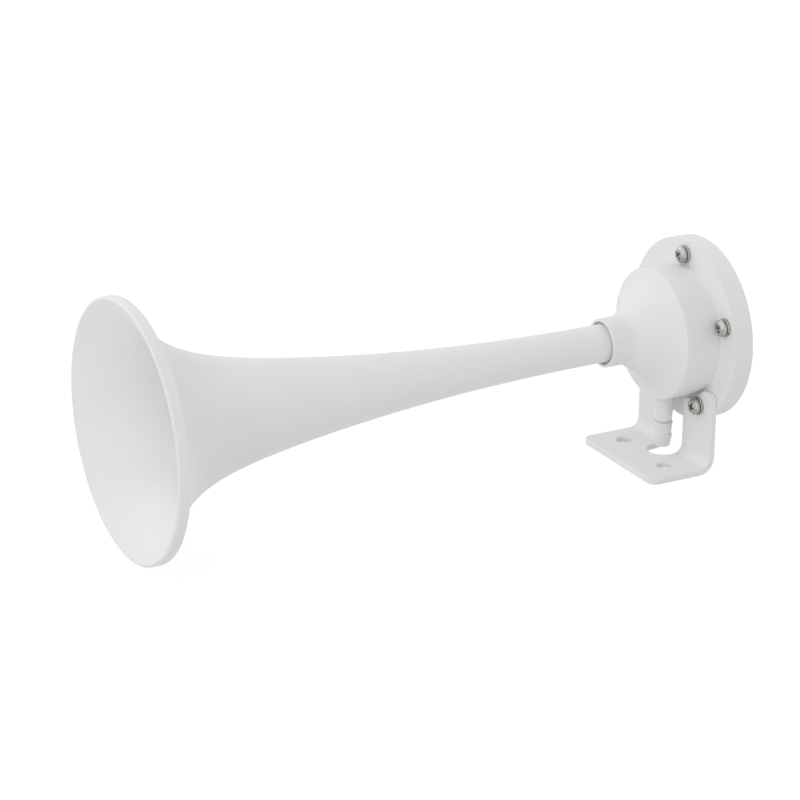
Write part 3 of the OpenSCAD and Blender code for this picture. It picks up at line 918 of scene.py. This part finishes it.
def half_outline():
    """Right half of the outline, from the slot's round end to the middle of the foot's front."""
    clear_r = drum_r + drum_gap
    slot_turn = asin(slot_r / clear_r)
    top_turn = pi / 2 - asin((axis_h - leg_h) / clear_r)
    bite = arc((0, on_leg(axis_h)), clear_r, slot_turn - pi / 2, top_turn - pi / 2, BITE_STEPS)
    slot_end = arc((0, inlet_y - foot_front_y), slot_r, -pi / 2, 0, SLOT_STEPS)
    return (plain(slot_end) + [(*bite[0], slot_corner_r)] + plain(bite[1:-1])
            + [(*bite[-1], slot_corner_r), (half_w, on_leg(leg_h), leg_corner_r),
               (half_w, 0, foot_corner_r), (0, 0, 0)])


right_half = rounded(half_outline())
outline = right_half + [(-x, v) for x, v in reversed(right_half[1:-1])]
holes = []
for side in (-1, 1):
    leg_screw = screw_spot(2 if side > 0 else 3).translation
    holes.append(circle(bolt_r, HOLE_AROUND, (side * bolt_half_span, -foot_front_y)))
    holes.append(circle(hole_r, HOLE_AROUND, (leg_screw.x, on_leg(leg_screw.z))))
print(f"flat pattern {2 * half_w:.1f} x {on_leg(leg_h):.1f} with {len(holes)} holes")

# %% Stepping a loop inwards
LEAST_STRAIGHT = 0.5


def stepped_in(loop, inset):
    """The loop moved inwards square to its sides, or outwards if the inset is below 0."""
    area = sum(a[0] * b[1] - b[0] * a[1] for a, b in zip(loop, loop[1:] + loop[:1]))
    moved = []
    for i, point in enumerate(loop):
        here = Vector(point)
        before = (here - Vector(loop[i - 1])).normalized()
        after = (Vector(loop[(i + 1) % len(loop)]) - here).normalized()
        inward = Vector((-before.y - after.y, before.x + after.x)).normalized()
        straight = max(LEAST_STRAIGHT, sqrt((1 + before.dot(after)) / 2))
        moved.append(here + inward * (inset / straight) * (1 if area > 0 else -1))
    return moved


print("a square stepped in by 1:", short(stepped_in([(0, 0), (4, 0), (4, 4), (0, 4)], 1)))

# %% Plate with rounded edges
EDGE_STEPS = 5


def plate(outer, inner):
    """Flat plate with rounded edges and holes, and with its middle at height 0."""
    bm = bmesh.new()
    turns = [k * pi / 2 / EDGE_STEPS for k in range(EDGE_STEPS + 1)]
    levels = [(edge_r * (1 - cos(t)), plate_t / 2 - edge_r + edge_r * sin(t)) for t in turns]
    levels = [(inset, -height) for inset, height in reversed(levels)] + levels
    faces_of = {0: [], len(levels) - 1: []}
    for loop, sign in [(outer, 1)] + [(hole, -1) for hole in inner]:
        rings = [[bm.verts.new((*p, height)) for p in stepped_in(loop, inset * sign)]
                 for inset, height in levels]
        for low, high in zip(rings, rings[1:]):
            bridge(bm, low, high)
        for level in faces_of:
            faces_of[level].append(rings[level])
    for loops in faces_of.values():
        verts = [vert for loop in loops for vert in loop]
        flat_loops = [[vert.co.copy() for vert in loop] for loop in loops]
        for triangle in tessellate_polygon(flat_loops):
            bm.faces.new([verts[i] for i in triangle])
    return bm


bm = plate(outline, holes)
print(f"flat plate of {len(bm.faces)} faces")

# %% Bending the plate
BEND_CUTS = 18

for k in range(BEND_CUTS + 1):
    cut_at = bend_start + (bend_end - bend_start) * k / BEND_CUTS
    bmesh.ops.bisect_plane(bm, geom=bm.verts[:] + bm.edges[:] + bm.faces[:], dist=1e-4,
                           plane_co=(0, cut_at, 0), plane_no=(0, 1, 0))


def bent(x, v, height):
    """Place on the bent plate of a point of the flat one."""
    if v <= bend_start:
        return x, foot_front_y + v, plate_t / 2 + height
    turn = min((v - bend_start) / bend_mid_r, pi / 2)
    up_leg = max(v - bend_end, 0)
    radius = bend_mid_r - height
    return (x, flange_y - bend_out_r + radius * sin(turn),
            bend_out_r - radius * cos(turn) + up_leg)


for vert in bm.verts:
    vert.co = bent(*vert.co)
bracket = new_piece("bracket_bent", bm)
dressed(bracket, "bracket", plate_coat)

# %% [markdown]
# ## Hose barb
# The air hose is pushed over this stub from below. It is a turned piece with a tapered nose that
# finds its way into the hose, ridges that narrow downwards and so let the hose on but not off, and
# a collar that stops it.

# %% Hose barb
barb_end_z, barb_top_z, barb_collar_r = barb_low.z, barb_high.z, barb_high.x
collar_top_z, barb_collar_t = barb_seal_low.z, 1.0
neck_r, ridge_r, nose_r, nose_len, nose_grip = 4.4, 5.0, 3.8, 7.0, 1.2
collar_end_z = collar_top_z - barb_collar_t
ridge_z = barb_end_z + nose_len

barb_outline = rounded(
    [(bore_r, barb_end_z, 0.3), (nose_r, barb_end_z, 0.35), (ridge_r, ridge_z - nose_grip, 1.0),
     (ridge_r, ridge_z, 0.3), (neck_r, ridge_z, 0.3), (ridge_r, collar_end_z, 0.1),
     (barb_collar_r, collar_end_z, 0.3), (barb_collar_r, collar_top_z, 0.3),
     (spigot_r, collar_top_z, 0.2), (spigot_r, barb_top_z, 0.3), (bore_r, barb_top_z, 0.3)],
    closed=True)
barb = turned("hose_barb_turned", barb_outline, INLET_AXIS, closed=True, around=INLET_AROUND)
dressed(barb, "hose_barb", barb_coat)

# %% [markdown]
# ## Screws
# Pan head machine screws with a cross recess are pressed and rolled from wire. The head is turned
# from an outline, the recess is a tapered cross that is cut out with a boolean, and the thread is
# made by moving the rings of the shank in and out as they wind round it. No two recesses stop at
# the same angle when screws are tightened, so each has a turn of its own.

# %% Thread
pitch, thread_depth, tip_chamfer = 0.8, 0.45, 0.6
FLANK_FOOT, FLANK_RISE = 0.2, 0.6
tip_s = flange_y - top_screw_high.y


def thread_radius(distance, turn):
    """Radius of the thread: a worm of flat crests that fades out at the tip's chamfer."""
    wave = abs(((distance / pitch - turn / TAU) % 1) - 0.5) * 2
    crest = min(1.0, max(0.0, (wave - FLANK_FOOT) / FLANK_RISE))
    return min(screw_r - thread_depth * (1 - crest), screw_r - tip_chamfer + (distance - tip_s))


print(f"thread of {pitch} pitch between {screw_r - thread_depth:.2f} and {screw_r:.2f} in radius")

# %% Head and threaded shank
THREAD_AROUND, RINGS_PER_PITCH, MAP_TURN = 48, 10, 0.5
head_side_h, shoulder_share, shoulder_drop, plain_shank = 1.75, 0.72, 0.28, 1.0
head_r = top_screw_high.x
washer_t = top_washer_high.y - top_washer_low.y
head_h = top_washer_low.y - top_screw_low.y


def screw_body(name, i, seat_s):
    """Screw whose head sits at seat_s, as one closed skin. Its map keeps to one turn."""
    head = rounded(
        [(screw_r, seat_s, 0), (head_r, seat_s, 0.7), (head_r, seat_s + head_side_h, 1.0),
         (head_r * shoulder_share, seat_s + head_h - shoulder_drop, 3.0),
         (0, seat_s + head_h, 0)])
    bm = bmesh.new()
    lathe = bm.loops.layers.uv.new("Lathe")
    thread_end = seat_s - plain_shank
    count = int((thread_end - tip_s) / pitch * RINGS_PER_PITCH)
    levels = [tip_s + (thread_end - tip_s) * k / count for k in range(count + 1)]
    turns = [TAU * j / THREAD_AROUND for j in range(THREAD_AROUND)]
    rings = [[(thread_radius(s, t), t, s) for t in turns] for s in levels]
    rings += [[(r, t, s) for t in turns] for r, s in head[:-1]]
    rows = [[bm.verts.new((r * cos(t), r * sin(t), s)) for r, t, s in spots] for spots in rings]
    travelled = 0.0
    for k in range(len(rows) - 1):
        (r, _, s), (next_r, _, next_s) = rings[k][0], rings[k + 1][0]
        reached = travelled + hypot(next_r - r, next_s - s)
        for face in bridge(bm, rows[k], rows[k + 1]):
            for loop, distance in zip(face.loops, (travelled, travelled, reached, reached)):
                loop[lathe].uv = (MAP_TURN, distance)
        travelled = reached
    for row, height in ((rows[0], tip_s), (rows[-1], seat_s + head_h)):
        for face in fan(bm, row, bm.verts.new((0, 0, height))):
            for loop in face.loops:
                loop[lathe].uv = (MAP_TURN, -loop.vert.co.xy.length)
    return new_piece(name, bm, screw_spot(i))


print(f"head {2 * head_r:.1f} across and {head_h:.1f} high")

# %% Cross recess
cross_half, cross_half_w, cross_d = 2.75, 0.78, 1.9
MOUTH_SHARE, mouth_past = 1.06, 0.3
FLOOR_SHARE, FLOOR_W_SHARE, point_len = 0.55, 0.7, 0.5


def cross_ring(bm, arm, width, height, turn):
    """Vertices round a cross of four arms, at one height."""
    quarter = [(arm, -width), (arm, width), (width, width)]
    return [bm.verts.new((x * cos(q) - y * sin(q), x * sin(q) + y * cos(q), height))
            for q in (turn, turn + pi / 2, turn + pi, turn + 3 * pi / 2) for x, y in quarter]


def cross_tool(i, seat_s, turn):
    """Tapered cross that ends in a blunt point."""
    bm = bmesh.new()
    head_top_s = seat_s + head_h
    floor_s = head_top_s - cross_d
    mouth = cross_ring(bm, cross_half * MOUTH_SHARE, cross_half_w * MOUTH_SHARE,
                       head_top_s + mouth_past, turn)
    floor = cross_ring(bm, cross_half * FLOOR_SHARE, cross_half_w * FLOOR_W_SHARE, floor_s, turn)
    bm.faces.new(mouth)
    bridge(bm, mouth, floor)
    fan(bm, floor, bm.verts.new((0, 0, floor_s - point_len)))
    return new_piece("tool", bm, screw_spot(i))


recess_turns = [radians(a) for a in (45, 20, 42, 71, 8)]
print("recesses are turned by", [round(t, 2) for t in recess_turns])

# %% Five screws
washer_backs = []
for i, node in enumerate(SCREWS):
    washer_low, washer_high = box_mm(f"lock_washer_{i + 1}")
    washer_backs.append(flange_y - washer_high.y)
    seat = flange_y - washer_low.y
    screw = screw_body(f"{node}_steel", i, seat)
    combine(screw, cross_tool(i, seat, recess_turns[i]), "DIFFERENCE")
    dressed(screw, node, screw_steel)

# %% [markdown]
# ## Lock washers
# A split lock washer is a turn of spring wire with a four-sided section, a little thinner at its
# outer edge, cut through at a slant. Tightened flat it is still open at the slit, so it is swept
# through almost a full turn instead of being turned like the rest.

# %% Five lock washers
washer_r, washer_hole_r, washer_thin = top_washer_high.x, 2.65, 0.14
inner_round, outer_round = 0.15, 0.3
split_w, SLANT_SHARE, SPLIT_STEPS = 0.9, 0.6, 72
split_turns = [radians(a) for a in (200, 320, 250, 80, 140)]


def lock_washer(name, i, back_s):
    """Four-sided wire swept almost once round, with a slanted slit."""
    front_s = back_s + washer_t
    section = rounded([(washer_hole_r, back_s, inner_round),
                       (washer_r, back_s + washer_thin, outer_round),
                       (washer_r, front_s - washer_thin, outer_round),
                       (washer_hole_r, front_s, inner_round)], closed=True, steps=4)
    gap = split_w / (washer_r + washer_hole_r)
    bm = bmesh.new()
    rings = []
    for k in range(SPLIT_STEPS + 1):
        turn = split_turns[i] + gap + (TAU - 2 * gap) * k / SPLIT_STEPS
        slants = [SLANT_SHARE * gap * (2 * s - back_s - front_s) / washer_t for r, s in section]
        rings.append([bm.verts.new((r * cos(turn + slant), r * sin(turn + slant), s))
                      for (r, s), slant in zip(section, slants)])
    for low, high in zip(rings, rings[1:]):
        bridge(bm, low, high)
    bm.faces.new(rings[0])
    bm.faces.new(rings[-1])
    return new_piece(name, bm, screw_spot(i))


for i, back_s in enumerate(washer_backs):
    node = f"lock_washer_{i + 1}"
    dressed(lock_washer(f"{node}_split", i, back_s), node, washer_steel)

# %% [markdown]
# ## Pieces inside
# The disc and the seals are plain discs and rings, and the imported model has them exactly. They
# stay as they are and get their finish: rolled sheet for the disc, fibre for the washer of the barb
# and rubber for the other seals. The disc moves with its own body.

# %% Finish of the pieces inside
inner_finish = {"diaphragm": disc_steel, "tube_seal": seal_rubber, "front_gasket": seal_rubber,
                "rear_gasket": seal_rubber, "barb_seal": seal_fibre}
for node, material in inner_finish.items():
    frame["nodes"][node].data.materials.clear()
    frame["nodes"][node].data.materials.append(material)
print("finished inside:", ", ".join(inner_finish))

# %% [markdown]
# ## Sizes and the end
# Both boxes, the imported model's and the dressed horn's, are measured, and the largest gap between
# them is printed. The dressed horn has to keep within the imported model's box.

# %% Measure both boxes and finish
visual_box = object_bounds()
gaps = [abs(a - b) / MM for cad, visual in zip(cad_box, visual_box) for a, b in zip(cad, visual)]
print(f"the boxes differ by {max(gaps):.3f} mm at most")
